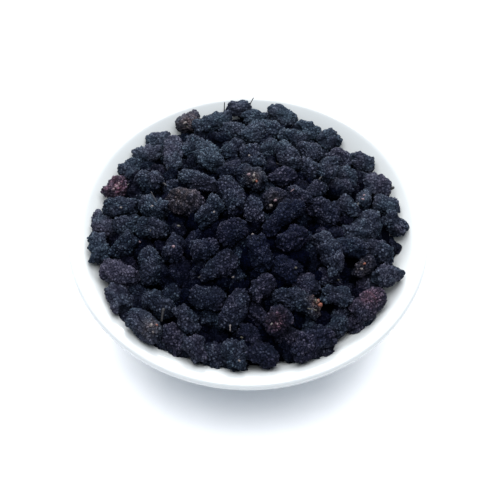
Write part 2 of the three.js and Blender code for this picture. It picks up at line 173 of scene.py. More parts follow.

# The fruits of another colour, each a piece of its own: node, kind of skin, place as above, and its stain,
# which is the place along the fruit, the angle round it in degrees and the spread in millimetres
COLOURED_FRUITS = [
    ("mulberry_brown_seeded", "brown", (-26, 56, 12, 10, 30, 0), (-0.3, 120, 7)),
    ("mulberry_red_left", "red", (-56, 20, 12, 9.5, 30, 0), (0.1, 110, 7)),
    ("mulberry_brown_large", "brown", (-26, 3, 18, 12, 150, 0), (0.1, 80, 10)),
    ("mulberry_brown_top", "brown", (2, 10, 14, 10, 135, 0), (-0.4, 75, 4.5)),
    ("mulberry_grey_small", "grey", (9, 0, 12, 8.5, 30, 0), (-0.2, 150, 5)),
    ("mulberry_pale_seeded", "grey", (-40, -51, 17, 11, 140, 0), (-0.5, 85, 4)),
    ("mulberry_orange_tipped", "orange", (18, -41, 21, 10, 165, 0), (-0.9, 110, 4.2)),
    ("mulberry_red_right", "red", (46, -39, 17, 11.5, 45, 0), (0.15, 88, 5)),
    ("mulberry_purple", "red", (11, -50, 12, 11, 45, 0), (-0.1, 110, 5)),
    ("mulberry_seeded_right", "brown", (47, -23, 12, 8.5, 50, 1), (-0.5, 100, 4.5)),
]

SHARED_SLOTS = {"orange": "brown"}

# Filling and settling
TOP_TRIES = 420
UNDER_TRIES = 300
UNDER_DEPTH = 8.0
TOP_SPACING = 0.78
UNDER_SPACING = 0.84
SETTLE_STEPS = 160
SETTLE_PUSH = 0.32
HOLD_SEEN = 0.14
HOLD_SEEN_HEIGHT = 0.06
HOLD_LOOSE = 0.025
WALL_CLEARANCE = 0.55
WALL_GAP = 0.12
NEAR_REACH = 26.0
TINY = 1e-9

# Small fruits that fill the gaps of the top layer
GAP_TRIES = 900
GAP_INSET = 5.2
GAP_CLEARANCE = -2.2
GAP_SPACING = 7.4
GAP_DEPTH = 5.4
GAP_DEPTH_SPREAD = 1.6
GAP_LENGTH = 0.9
GAP_LENGTH_SPREAD = 0.4
GAP_SHARE = 0.92
GAP_TILT_SHARE = 0.6
GAP_PAINTED_SHADE = 1.3

# Fruits along the near wall, up to the lip: angles in degrees from +X towards +Y, and how far
# each is drawn aside, in degrees round the wall and in millimetres across it and upwards
RIM_ANGLES = (219, 228, 236, 245, 257, 266, 291, 300, 314, 322)
RIM_DRIFT = (2.0, 0.7, 0.8)
RIM_RADIUS = 61.8
RIM_HEIGHT = 38.8
RIM_WIDTH = 9.4
RIM_LENGTH = 12.5
RIM_SWING = 45.0

# Drupelets, the small beads that a mulberry is made of
DRUPELET_SPACING = 1.45
SPACING_RANGE = (0.92, 1.12)
DRUPELET_PACKING = 0.88
FEWEST_DRUPELETS = 24
DRUPELET_HEIGHTS = (0.35, 1.0)
DRUPELET_RISE = 0.85
DRUPELET_FALL = 0.42
DRUPELET_CREASE = 0.36
DRUPELET_JITTER = 0.5
DOME_REACH = 0.7
CREASED_CREST = 0.35
DIMPLE_WIDTH = 0.42
DIMPLE_DEPTH = 0.7
SHRUNK_SHARE = 0.42
SKIN_SINK = 0.45
LUMP_RISE = 0.55
LUMP_WAVES = 5
LUMP_LENGTHS = (3.6, 7.5)
FOLD_COUNT = 3
FOLD_DEPTH = 0.62
FOLD_WIDTH = 0.75
FOLD_LEAN = (0.55, 1, 1)
FOLD_OFFSET = 0.6
FOLD_STRENGTHS = (0.2, 1.0)
FOLD_SHADE = 0.5
FLATTEST = 0.14

# Meshes of the fruits: steps in millimetres
SKIN_STEP = 0.41
GAP_STEP = 0.75
UNDER_STEP = 1.2
COLUMN_SHARE = 0.86
TOP_CROWDING = 0.4
PROFILE_POINTS = 241

# Painted light and shade on the fruits, and their hue: the bloom grows away from a place in front of the
# middle, which paints shade on the near slope and light towards the edges and the back; the violet thins
# out towards the back
PAINTED_SHADE_MIDDLE = (0.0, -22.0)
PAINTED_LIGHT_REACH = 85.0
PAINTED_LIGHT_CURVE = 1.5
PAINTED_LIGHT_LEAST = -0.75
PAINTED_LIGHT_MOST = 1.5
VIOLET_REACH = 45.0
VIOLET_LOSS = 0.65

# Seeds that show: number of the fruit, place along it, angle round it, heading in degrees,
# length, thickness, and the number of the material in each piece
PALE_SEED, PINK_SEED, DARK_SEED, ORANGE_SEED, STALK = 1, 2, 3, 4, 5
SEEDS = [
    (0, -0.58, 116, 40, 1.8, 1.2, PALE_SEED), (0, 0.01, 128, 100, 1.8, 1.3, PALE_SEED),
    (0, -0.48, 148, 0, 1.4, 0.9, DARK_SEED), (1, 0.05, 116, 30, 2.1, 1.4, PINK_SEED),
    (1, -0.24, 122, 80, 1.4, 1.0, PINK_SEED), (1, 0.34, 110, 120, 1.6, 1.1, PINK_SEED),
    (3, -0.11, 67, 20, 1.7, 1.2, PINK_SEED), (3, -0.36, 83, 120, 1.5, 1.1, PALE_SEED),
    (3, -0.60, 55, 60, 1.7, 1.0, DARK_SEED), (3, -0.76, 61, 140, 1.5, 0.9, ORANGE_SEED),
    (4, -0.21, 142, 50, 1.4, 1.1, PINK_SEED), (4, -0.60, 170, 10, 1.6, 1.3, PALE_SEED),
    (5, -0.45, 89, 60, 1.5, 1.2, PALE_SEED), (5, -0.71, 74, 20, 1.4, 1.1, PALE_SEED),
    (5, -0.31, 34, 0, 1.1, 0.8, DARK_SEED), (5, -0.60, 108, 0, 1.0, 0.7, ORANGE_SEED),
    (6, -0.88, 95, 30, 2.2, 1.6, ORANGE_SEED), (6, -0.86, 138, 80, 1.7, 1.2, PALE_SEED),
    (6, -0.93, 172, 20, 1.8, 1.2, ORANGE_SEED), (6, -0.80, 118, 60, 1.6, 1.2, ORANGE_SEED),
    (6, -0.70, 98, 120, 1.4, 1.0, DARK_SEED), (8, -0.22, 119, 0, 1.3, 0.9, PINK_SEED),
    (8, -0.51, 103, 60, 1.2, 0.8, PALE_SEED), (9, -0.66, 106, 0, 1.5, 1.1, PALE_SEED),
    (9, -0.29, 99, 50, 1.4, 0.9, ORANGE_SEED), (20, 0.06, 134, 70, 1.4, 0.9, PALE_SEED),
    (22, -0.06, 36, 90, 1.4, 0.8, DARK_SEED), (25, -0.25, 52, 0, 1.3, 0.9, PALE_SEED),
    (34, 0.41, 68, 60, 2.0, 0.8, PINK_SEED), (39, -0.40, 94, 0, 1.5, 1.2, PINK_SEED),
    (43, -0.49, 102, 45, 1.3, 0.8, PALE_SEED), (56, -0.52, 112, 0, 1.2, 0.8, PALE_SEED),
    (58, 0.97, 276, 0, 1.4, 1.1, PALE_SEED), (60, -0.51, 104, 0, 1.4, 0.9, DARK_SEED),
    (66, 0.44, 126, 0, 1.1, 0.8, DARK_SEED), (75, 0.30, 37, 0, 1.4, 1.0, DARK_SEED),
    (89, -0.27, 64, 0, 1.1, 0.8, PALE_SEED), (101, -0.78, 99, 0, 1.4, 0.9, PINK_SEED),
    (101, -0.29, 93, 60, 1.3, 0.8, PINK_SEED), (109, -0.26, 66, 30, 1.4, 1.0, PALE_SEED),
    (147, 0.75, 93, 0, 1.6, 1.0, DARK_SEED), (193, -0.63, 64, 0, 1.2, 0.9, PINK_SEED),
]
SEED_TAPER = 0.3
SEED_LIFT = 0.05
SEED_GRID = (8, 9)
SEED_SIDE = (0.3, 0.9, 0.2)
SEED_LOOK = {"crest": 0.5, "tone": 0.5, "hue": 0.5, "stain": 0.0}
SEED_NAMES = ("pale_seed", "pink_seed", "dark_seed", "orange_seed", "stalk")

# Stalks: number of the fruit, place along it, angle round it, the run and the thickness in
# millimetres, and the number of the material
STALKS = [
    (6, -0.77, 49, (-2.8, 0.3, 0.9), 0.55, DARK_SEED), (18, -0.98, 200, (1.2, -1.4, 0.8), 0.8, STALK),
    (28, -0.98, 200, (2.2, 1.0, 1.2), 1.5, STALK), (48, -0.73, 49, (-0.6, -3.4, -1.6), 1.0, STALK),
    (51, -0.86, 117, (0.0, -1.4, -1.2), 0.6, PALE_SEED), (77, 0.46, 59, (0.2, 1.6, 4.4), 0.5, STALK),
    (78, 0.55, 112, (1.7, 1.8, 3.4), 0.45, STALK), (109, -0.44, 96, (-3.0, 6.5, 0.8), 0.3, STALK),
]
STALK_RADII = (1.5, 1.25, 1.0, 0.9, 0.85, 0.9, 0.8)
STALK_ROOT = -0.25
STALK_SAG = 0.12
STALK_TIP = 0.5
STALK_SIDES = 7
STALK_SIDE = (0.31, 0.17, 0.93)
STUB_SHARE = 0.08
STUB_PLACE = -0.96
STUB_LENGTH = (1.2, 2.6)
STUB_THICKNESS = 0.75

# Sheen on the skins, and how much of bloom and deep colour the fruits inside the heap have; their smaller
# shares paint the shade they lie in
SHEEN = (0.62, 0.74, 1.0, 1)
OUTER_SHEEN = 0.135
INNER_SHEEN = 0.04
INNER_SHADE_BLOOM = 0.28
INNER_SHADE_DEEP = 0.5
SEED_SHEEN = 0.2
SKIN_BUMP = 0.22
SEED_BUMP = 0.05
GLAZE_BUMP = 0.02

# Camera, in millimetres and degrees
CAMERA_TARGET = (0.772, -11.74, 42.0)
CAMERA_DISTANCE = 568.584
CAMERA_ELEVATION = 56.585
CAMERA_LENS = 100.0
CAMERA_SENSOR = 36.0
CAMERA_NEAR = 10.0

# Table and light, in metres: each light has its name, its place and its width
TABLE_RADIUS = 1.1
TABLE_SIDES = 96
TABLE_ROUGHNESS = 0.9
TABLE_SHEEN = 0.1
LIGHTS = (("overhead", (0.0, 0.05, 1.3), 1.5), ("window", (0.0, 1.5, 0.75), 1.2))
DOME_COLOUR = (0.72, 0.84, 1.0, 1)
WHITE = (1, 1, 1, 1)
BLACK = (0, 0, 0, 1)


class Draws:
    """Seeded draws between 0 and 1, from a multiplicative rule on whole numbers."""

    FACTOR = 48271
    PRIME = 2147483647

    def __init__(self, state):
        self.state = state

    def __call__(self):
        self.state = self.state * self.FACTOR % self.PRIME
        return self.state / self.PRIME

    def aside(self, most):
        """A draw between -most and most."""
        return (self() * 2 - 1) * most

    def between(self, low, high):
        """A draw between two values."""
        return low + (high - low) * self()


def unit(vector):
    """A vector, or each one of an array, brought to length 1."""
    return vector / np.linalg.norm(vector, axis=-1, keepdims=True)


def angles(count):
    """Angles that divide a full turn evenly."""
    return np.arange(count) * 2 * math.pi / count


def turned(r, turn, z):
    """Points at radius r from the Z axis, turned round it by an angle, at height z."""
    return np.stack(np.broadcast_arrays(r * np.cos(turn), r * np.sin(turn), z), axis=-1)


def wall_height(r):
    """Height of the bowl's inner wall at radius r, a cubic that flares to the lip."""
    t = np.maximum(0, (r - FLOOR_RADIUS) / WALL_RUN)
    return FLOOR_TOP + WALL_RISE * (WALL_SQUARE * t * t + WALL_CUBE * t * t * t)


def wall_slope(r):
    """Slope of the inner wall at radius r."""
    t = np.maximum(0, (r - FLOOR_RADIUS) / WALL_RUN)
    return (WALL_RISE / WALL_RUN) * (2 * WALL_SQUARE * t + 3 * WALL_CUBE * t * t)


def reach_at(angle):
    """Reach of the fruit in one direction, eased between the values given every 45 degrees."""
    turns = np.asarray(angle) / (2 * math.pi)
    place = (turns - np.floor(turns)) * len(HEAP_REACH)
    low = np.floor(place).astype(int) % len(HEAP_REACH)
    high = (low + 1) % len(HEAP_REACH)
    ease = 0.5 - 0.5 * np.cos(math.pi * (place - np.floor(place)))
    reach = np.array(HEAP_REACH)
    return reach[low] + (reach[high] - reach[low]) * ease


def heap_top(x, y):
    """Height of the top of the heap over x, y."""
    across = np.sqrt(x * x + y * y) / reach_at(np.arctan2(y, x))
    fall = np.minimum(across, 1) ** HEAP_CURVE
    return BOWL_HEIGHT + HEAP_EDGE_RISE + (HEAP_TOP_RISE - HEAP_EDGE_RISE) * (1 - fall)


class Fruit:
    """One fruit: its place, the unit vector along it, its drawn bend, and how firmly it is held."""

    def __init__(self, draw, place, tilt, held):
        x, y, self.length, self.width, heading, depth = place
        turn = math.radians(heading)
        rise = heap_top(x + math.cos(turn), y + math.sin(turn))
        fall = heap_top(x - math.cos(turn), y - math.sin(turn))
        lean = math.atan((rise - fall) / 2) + tilt
        level = math.cos(lean)
        self.centre = np.array([x, y, heap_top(x, y) - self.width / 2 - depth])
        self.along = np.array([math.cos(turn) * level, math.sin(turn) * level, math.sin(lean)])
        draw()  # a draw that is not used here, kept so that the draws after it stay in order
        self.bend = draw.aside(FRUIT_BEND) * self.length
        self.held = held
        self.dust_and_painted_light = 0.0
        self.number = None

    def balls(self):
        """Places from the centre, and radii, of three balls that stand for the fruit while it is placed."""
        big = self.width / 2
        small = big * END_BALL_SHARE
        out = self.length / 2 - small
        return np.array([[-out], [0], [out]]) * self.along, np.array([small, big, small])


def balls_of(fruits):
    """Centres of the fruits, the places of their balls from there, and the radii of the balls."""
    offset, radius = (np.array(part) for part in zip(*(fruit.balls() for fruit in fruits)))
    return np.array([fruit.centre for fruit in fruits]), offset, radius


def crowded(fruit, others, spacing):
    """True where a fruit would lie too close, seen from above, to one that is already there."""
    if not others:
        return False
    offset, radius = fruit.balls()
    centre, offsets, radii = balls_of(others)
    ball = (fruit.centre + offset)[:, None, None, :2]
    apart = np.linalg.norm(ball - (centre[:, None] + offsets)[..., :2], axis=-1)
    return bool((apart < (radius[:, None, None] + radii) * spacing).any())


def fill_layer(draw, tries, depth, spacing, there):
    """Fruits on a sunflower spiral out to the reach, with drawn size, heading and tilt."""
    added = []
    for k in range(tries):
        angle = k * GOLDEN_ANGLE
        length = SHORTEST_FRUIT + (LONGEST_FRUIT - SHORTEST_FRUIT) * draw() * draw()
        width = draw.between(THINNEST_FRUIT, THICKEST_FRUIT)
        out = (reach_at(angle) - width / 2) * math.sqrt((k + 0.5) / tries)
        heading = draw() * 180
        tilt = draw.aside(STEEP_TILT if draw() < STEEP_SHARE else LOOSE_TILT)
        sink = draw() * LOOSE_SPREAD - LOOSE_RISE
        place = (out * math.cos(angle), out * math.sin(angle), length, width, heading, depth + sink)
        fruit = Fruit(draw, place, tilt, HOLD_LOOSE)
        if not crowded(fruit, there + added, spacing):
            added.append(fruit)
    return added


def settle(fruits):
    """Let the heap settle: fruits push apart, stay off the wall and are drawn back to their places."""
    centre, offset, radius = balls_of(fruits)
    held = np.array([fruit.held for fruit in fruits])
    hold = np.stack([held, held, np.minimum(held, HOLD_SEEN_HEIGHT)], axis=1)
    home = centre.copy()
    first, second = np.tril_indices(len(fruits), -1)
    for _ in range(SETTLE_STEPS):
        balls = centre[:, None] + offset
        near = (np.abs(centre[first, :2] - centre[second, :2]) < NEAR_REACH).all(axis=1)
        a, b = first[near], second[near]
        gap = balls[a][:, :, None] - balls[b][:, None, :]
        apart = np.linalg.norm(gap, axis=-1) + TINY
        press = np.maximum(0, radius[a][:, :, None] + radius[b][:, None, :] - apart)
        push = (gap * (SETTLE_PUSH * press / apart)[..., None]).sum(axis=(1, 2))
        move = hold * (home - centre)
        np.add.at(move, a, push)
        np.add.at(move, b, -push)
        centre += move
        balls = centre[:, None] + offset
        r = np.linalg.norm(balls[..., :2], axis=-1) + TINY
        slope = wall_slope(r)
        steep = np.sqrt(1 + slope * slope)
        press = np.maximum(0, radius + WALL_CLEARANCE - (balls[..., 2] - wall_height(r)) / steep)
        inward = -(press * slope / (steep * r))[..., None] * balls[..., :2]
        centre += np.concatenate([inward, (press / steep)[..., None]], axis=-1).sum(axis=1)
    for fruit, place in zip(fruits, centre):
        fruit.centre = place


def gap_fruits(top):
    """Small fruits in the gaps of the top layer, on points of a spiral that are nearly clear of it."""
    draw = Draws(SEED + 1)
    centre, offset, radius = balls_of(top)
    balls = (centre[:, None] + offset)[..., :2].reshape(-1, 2)
    added = []
    for k in range(GAP_TRIES):
        angle = k * GOLDEN_ANGLE
        out = (reach_at(angle) - GAP_INSET) * math.sqrt((k + 0.5) / GAP_TRIES)
        place = np.array([out * math.cos(angle), out * math.sin(angle)])
        clear = (np.linalg.norm(balls - place, axis=1) - radius.ravel()).min()
        near = min([np.linalg.norm(other.centre[:2] - place) for other in added], default=math.inf)
        if clear < GAP_CLEARANCE or near < GAP_SPACING:
            continue
        length = SHORTEST_FRUIT * (GAP_LENGTH + GAP_LENGTH_SPREAD * draw())
        width = draw.between(THINNEST_FRUIT, THICKEST_FRUIT) * GAP_SHARE
        depth = GAP_DEPTH + draw.aside(GAP_DEPTH_SPREAD)
        row = (*place, length, width, draw() * 180, depth)
        fruit = Fruit(draw, row, draw.aside(STEEP_TILT) * GAP_TILT_SHARE, 0)
        ball, thick = fruit.balls()
        ball = fruit.centre + ball
        floor = wall_height(np.linalg.norm(ball[:, :2], axis=1)) + thick + WALL_GAP
        fruit.centre[2] += max(0.0, float((floor - ball[:, 2]).max()))
        # Painted shade: a gap fruit gets a lower tone, so less bloom, as it lies in the shade between the
        # top fruits
        fruit.dust_and_painted_light = -GAP_PAINTED_SHADE * draw()
        added.append(fruit)
    return added


def rim_fruits():
    """Fruits that lean on the near wall, side by side along a circle, each turned a little."""
    draw = Draws(SEED + 2)
    made = []
    for angle in RIM_ANGLES:
        turn = math.radians(angle + draw.aside(RIM_DRIFT[0]))
        radius = RIM_RADIUS + draw.aside(RIM_DRIFT[1])
        heading = angle + 90 + draw.aside(RIM_SWING)
        row = (radius * math.cos(turn), radius * math.sin(turn), RIM_LENGTH, RIM_WIDTH, heading, 0)
        fruit = Fruit(draw, row, 0, 0)
        fruit.centre[2] = RIM_HEIGHT + draw.aside(RIM_DRIFT[2])
        made.append(fruit)
    return made


@functools.cache
def placed_fruits():
    """The fruits of the heap: coloured, black on top, under these, in gaps, and along the near rim."""
    draw = Draws(SEED)
    coloured = [Fruit(draw, row[2], draw.aside(COLOURED_TILT), HOLD_SEEN) for row in COLOURED_FRUITS]
    seen = [Fruit(draw, place, draw.aside(SEEN_TILT), HOLD_SEEN) for place in SEEN_FRUITS]
    loose = fill_layer(draw, TOP_TRIES, 0, TOP_SPACING, coloured + seen)
    under = fill_layer(draw, UNDER_TRIES, UNDER_DEPTH, UNDER_SPACING, [])
    top = coloured + seen + loose
    settle(top + under)
    gaps = gap_fruits(top)
    for number, fruit in enumerate(top + gaps):
        fruit.number = number
    return coloured, seen + loose, under, gaps, rim_fruits()


def linked(name, data):
    """A new object of the scene that shows a mesh, a light or a camera."""
    made = bpy.data.objects.new(name, data)
    bpy.context.scene.collection.objects.link(made)
    return made


def grid_faces(rings, columns):
    """Faces of a closed surface: rings of columns between two poles, as triangles and quads."""
    column = np.arange(columns)
    following = (column + 1) % columns
    last = 1 + rings * columns
    start = 1 + (rings - 1) * columns
    caps = np.concatenate([
        np.stack([np.zeros(columns, int), 1 + following, 1 + column], axis=1),
        np.stack([np.full(columns, last), start + column, start + following], axis=1),
    ])
    row = 1 + np.arange(rings - 1)[:, None] * columns
    after = row + columns
    quads = np.stack([row + column, row + following, after + following, after + column], axis=-1)
    return caps, quads.reshape(-1, 4)


class Shell:
    """Closed surfaces gathered for one mesh: points in millimetres, faces, attributes and materials."""

    def __init__(self):
        self.points, self.caps, self.quads, self.values, self.paint = [], [], [], {}, []
        self.count = 0

    def add(self, pole, rings, end, values, paint=0):
        """Add a surface from its first pole, its rings of points and its last pole."""
        caps, quads = grid_faces(*rings.shape[:2])
        points = np.concatenate([pole[None], rings.reshape(-1, 3), end[None]])
        self.points.append(points)
        self.caps.append(caps + self.count)
        self.quads.append(quads + self.count)
        self.paint.append((len(caps), len(quads), paint))
        for name, value in values.items():
            self.values.setdefault(name, []).append(np.broadcast_to(value, len(points)))
        self.count += len(points)

    def build(self, name, materials):
        """Put the gathered surfaces into a mesh object, smooth, at the origin."""
        mesh = bpy.data.meshes.new(name)
        points = np.concatenate(self.points) * MM
        caps, quads = np.concatenate(self.caps), np.concatenate(self.quads)
        corners = np.concatenate([caps.ravel(), quads.ravel()])
        starts = np.concatenate([np.arange(len(caps)) * 3, caps.size + np.arange(len(quads)) * 4])
        painted = np.concatenate([
            np.full(row[kind], row[2]) for kind in (0, 1) for row in self.paint
        ])
        mesh.vertices.add(len(points))
        mesh.loops.add(len(corners))
        mesh.polygons.add(len(starts))
        mesh.vertices.foreach_set("co", points.astype(np.float32).ravel())
        mesh.loops.foreach_set("vertex_index", corners.astype(np.int32))
        mesh.polygons.foreach_set("loop_start", starts.astype(np.int32))
        mesh.polygons.foreach_set("material_index", painted.astype(np.int32))
        mesh.update(calc_edges=True)
        mesh.validate()
        mesh.shade_smooth()
        for key, parts in self.values.items():
            attribute = mesh.attributes.new(key, "FLOAT", "POINT")
            attribute.data.foreach_set("value", np.concatenate(parts).astype(np.float32))
        for material in materials[:painted.max() + 1]:
            mesh.materials.append(material)
        return linked(name, mesh)


def random_for(fruit, stream=0):
    """A random source that depends only on where the fruit lies, so that each keeps its own skin."""
    place = np.round(fruit.centre * PLACE_SCALE).astype(int) + PLACE_SHIFT
    return np.random.default_rng([SEED, *place, stream])


@functools.cache
def fruit_shape(fruit):
    """Bluntness, taper, and the place and depth of the waist, drawn for one fruit."""
    rng = random_for(fruit, 1)
    waist = rng.uniform(-WAIST_PLACE, WAIST_PLACE), rng.uniform(0, WAIST_DEPTH)
    return rng.uniform(*BLUNTNESS), rng.uniform(*TAPER), *waist


def body_radius(fruit, t):
    """Radius of the smooth fruit at t from -1 to 1, and its share before the taper and the waist."""
    bluntness, taper, waist, depth = fruit_shape(fruit)
    share = (1 - np.abs(t) ** bluntness).clip(0) ** (1 / bluntness)
    pinch = 1 - depth * np.exp(-(((t - waist) / WAIST_WIDTH) ** 2))
    thick = fruit.width / 2 - SKIN_SINK
    return thick * share * (1 - taper * t) * pinch / (1 + abs(taper) * TAPER_EVENING), share


def body_profile(fruit):
    """Points t from -1 to 1, with the run along the skin and the area of the skin up to each."""
    t = -np.cos(np.linspace(0, math.pi, PROFILE_POINTS))
    r = body_radius(fruit, t)[0]
    step = np.hypot(np.diff(t) * fruit.length / 2, np.diff(r))
    area = step * math.pi * (r[1:] + r[:-1])
    return t, *(np.concatenate([[0], np.cumsum(part)]) for part in (step, area))


def body_surface(fruit, t, turn):
    """Points and outward normals of a smooth blunt fruit in its own axes.

    The point is t times half the length along the fruit. Across it, it is at the radius of a
    superellipse with a taper and a waist, at the angle turn round the fruit.
    """
    half, thick = fruit.length / 2 - SKIN_SINK, fruit.width / 2 - SKIN_SINK
    radius, share = body_radius(fruit, t)
    bluntness = fruit_shape(fruit)[0]
    points = np.stack([t * half, radius * np.cos(turn), radius * np.sin(turn)], axis=-1)
    ahead = np.sign(t) * np.abs(t) ** (bluntness - 1) / half
    across = share ** (bluntness - 1) / thick
    return points, unit(np.stack([ahead, across * np.cos(turn), across * np.sin(turn)], axis=-1))


def to_heap(fruit, points):
    """Turn points from a fruit's own axes to its place, bent by a parabola and kept off the bowl."""
    along = fruit.along
    side = unit(np.array([-along[1], along[0], 0]))
    up = np.cross(along, side)
    t = points[..., 0] / (fruit.length / 2)
    bent = points[..., 1] + fruit.bend * (t * t - BEND_CENTRE)
    placed = fruit.centre + points[..., :1] * along + bent[..., None] * side + points[..., 2:] * up
    r = np.linalg.norm(placed[..., :2], axis=-1)
    floor = np.minimum(wall_height(r), BOWL_HEIGHT) + WALL_GAP
    placed[..., 2] = np.maximum(placed[..., 2], floor)
    return placed


def drupelet_places(fruit, rng, spacing):
    """Places of the drupelets: a spiral that is even in area along the fruit, each drawn aside a little."""
    t, _, area = body_profile(fruit)
    count = max(FEWEST_DRUPELETS, int(area[-1] / (DRUPELET_PACKING * spacing**2)))
    k = np.arange(count)
    jitter = rng.uniform(-1, 1, (count, 2)) * DRUPELET_JITTER
    place = np.interp((k + 0.5) / count * area[-1], area, t)
    place = (place + jitter[:, 0] * spacing / (fruit.length / 2)).clip(-1, 1)
    turn = k * GOLDEN_ANGLE + jitter[:, 1] * spacing / (fruit.width / 2)
    return body_surface(fruit, place, turn)[0]


def fruit_grid(fruit, step):
    """t and turn of every ring point: rings even along the outline, columns closer on the upper side."""
    t, run, _ = body_profile(fruit)
    rings = int(run[-1] / step)
    columns = int(math.pi * fruit.width / step * COLUMN_SHARE)
    even = np.interp(np.linspace(0, run[-1], rings + 2)[1:-1], run, t)
    turn = angles(columns)
    return np.meshgrid(even, turn + TOP_CROWDING * np.cos(turn), indexing="ij")


def relief(fruit, points, rng, spacing):
    """Rise of the skin over the smooth body, and the share of crest, from 0 in a crease to 1 on top.

    Each point belongs to its nearest drupelet, a dome that falls with the square of the distance.
    A crease runs where the nearest and the next one are as far away as each other.
    The height is drawn for each drupelet, and a shrunk one has a dimple in its middle.
    Long waves make lumps, and folds of drying are valleys with the profile of a bell along planes.
    """
    places = drupelet_places(fruit, rng, spacing)
    apart = np.linalg.norm(points[:, None] - places[None], axis=-1)
    nearest = np.argmin(apart, axis=1)
    two = np.partition(apart, 1, axis=1)[:, :2]
    near = two[:, 0] / (spacing * DOME_REACH)
    dome = np.sqrt(np.clip(1 - near * near, 0, 1))
    crease = np.clip((two[:, 1] - two[:, 0]) / DRUPELET_CREASE, 0, 1)
    height = rng.uniform(*DRUPELET_HEIGHTS, len(places))[nearest]
    shrunk = (rng.uniform(0, 1, len(places)) < SHRUNK_SHARE)[nearest]
    dimple = np.exp(-((near / DIMPLE_WIDTH) ** 2)) * shrunk * DIMPLE_DEPTH
    crest = height * np.clip(dome - dimple, 0, 1) * (CREASED_CREST + (1 - CREASED_CREST) * crease)
    waves = unit(rng.normal(0, 1, (LUMP_WAVES, 3)))
    waves *= (2 * math.pi / rng.uniform(*LUMP_LENGTHS, LUMP_WAVES))[:, None]
    lumps = np.sin(points @ waves.T + rng.uniform(0, 2 * math.pi, LUMP_WAVES)).sum(axis=1) / 2
    planes = unit(rng.normal(0, 1, (FOLD_COUNT, 3)) * FOLD_LEAN)
    offset = rng.uniform(-FOLD_OFFSET, FOLD_OFFSET, FOLD_COUNT) * fruit.width / 2
    valley = np.exp(-(((points @ planes.T - offset) / FOLD_WIDTH) ** 2))
    folds = (valley * rng.uniform(*FOLD_STRENGTHS, FOLD_COUNT)).max(axis=1)
    rise = crest * DRUPELET_RISE - (1 - crease) * DRUPELET_FALL
    return rise + lumps * LUMP_RISE - folds * FOLD_DEPTH, np.clip(crest * (1 - FOLD_SHADE * folds), 0, 1)


def skin_points(fruit, t, turn):
    """Points of a fruit's skin in the heap, the smooth points, and crest, tone and hue for the colour.

    The smooth body is moved out along its normals by its relief, and flattened a little one way.
    """
    rng = random_for(fruit)
    smooth, normals = body_surface(fruit, t.ravel(), turn.ravel())
    rise, crest = relief(fruit, smooth, rng, DRUPELET_SPACING * rng.uniform(*SPACING_RANGE))
    flat = smooth + normals * rise[:, None]
    squeeze = rng.uniform(0, math.pi)
    across = np.array([0, math.cos(squeeze), math.sin(squeeze)])
    flat = flat - (flat @ across)[:, None] * across * rng.uniform(0, FLATTEST)
    # Painted shade and light: the tone is lowest near a place in front of the middle and grows towards the
    # edges and the back, and the gap fruits' offset adds painted shade; only the first draw is the fruit's
    # own dustiness
    far = min(1, np.linalg.norm(fruit.centre[:2] - PAINTED_SHADE_MIDDLE) / PAINTED_LIGHT_REACH) ** PAINTED_LIGHT_CURVE
    tone = rng.uniform(0, 1) + fruit.dust_and_painted_light * (1 - far) + PAINTED_LIGHT_LEAST + (PAINTED_LIGHT_MOST - PAINTED_LIGHT_LEAST) * far
    back = min(max(fruit.centre[1] / VIOLET_REACH, 0), 1)
    hue = rng.uniform(0, 1) * (1 - VIOLET_LOSS * back)
    return to_heap(fruit, flat), smooth, {"crest": crest, "tone": tone, "hue": hue}


def add_fruit(shell, fruit, step, stain=None):
    """Add one fruit's skin to a shell, with a stain that fades with distance from one of its points."""
    t, turn = fruit_grid(fruit, step)
    with_poles = [np.concatenate([[a], ring.ravel(), [b]]) for a, ring, b in ((-1, t, 1), (0, turn, 0))]
    placed, smooth, values = skin_points(fruit, *with_poles)
    values["stain"] = 0.0
    if stain:
        middle, _ = body_surface(fruit, np.array(stain[0]), np.array(math.radians(stain[1])))
        values["stain"] = np.exp(-((np.linalg.norm(smooth - middle, axis=1) / stain[2]) ** 2))
    shell.add(placed[0], placed[1:-1].reshape(*t.shape, 3), placed[-1], values)


def skin_place(fruit, t, turn):
    """A point of a fruit's skin in the heap, and the direction that points out of the fruit there."""
    at, angle = np.array([t]), np.array([math.radians(turn)])
    smooth, normal = body_surface(fruit, at, angle)
    out = to_heap(fruit, smooth + normal) - to_heap(fruit, smooth)
    return skin_points(fruit, at, angle)[0][0], unit(out[0])


def add_seed(shell, fruit, t, turn, heading, length, width, paint):
    """Add a seed half sunk in the skin: an ellipse turned about its long axis, thinner at one end."""
    point, out = skin_place(fruit, t, turn)
    across = unit(np.cross(out, SEED_SIDE))
    angle = math.radians(heading)
    along = math.cos(angle) * across + math.sin(angle) * np.cross(out, across)
    side = np.cross(out, along)
    rings, columns = SEED_GRID
    run = -np.cos(np.linspace(0, math.pi, rings))[1:-1, None]
    around = angles(columns)
    radius = width / 2 * np.sqrt(1 - run * run) * (1 - SEED_TAPER * run)
    middle = point + out * SEED_LIFT
    ring = (run * length / 2)[..., None] * along + (radius * np.cos(around))[..., None] * side
    ring = middle + ring + (radius * np.sin(around))[..., None] * out
    shell.add(middle - along * length / 2, ring, middle + along * length / 2, SEED_LOOK, paint)


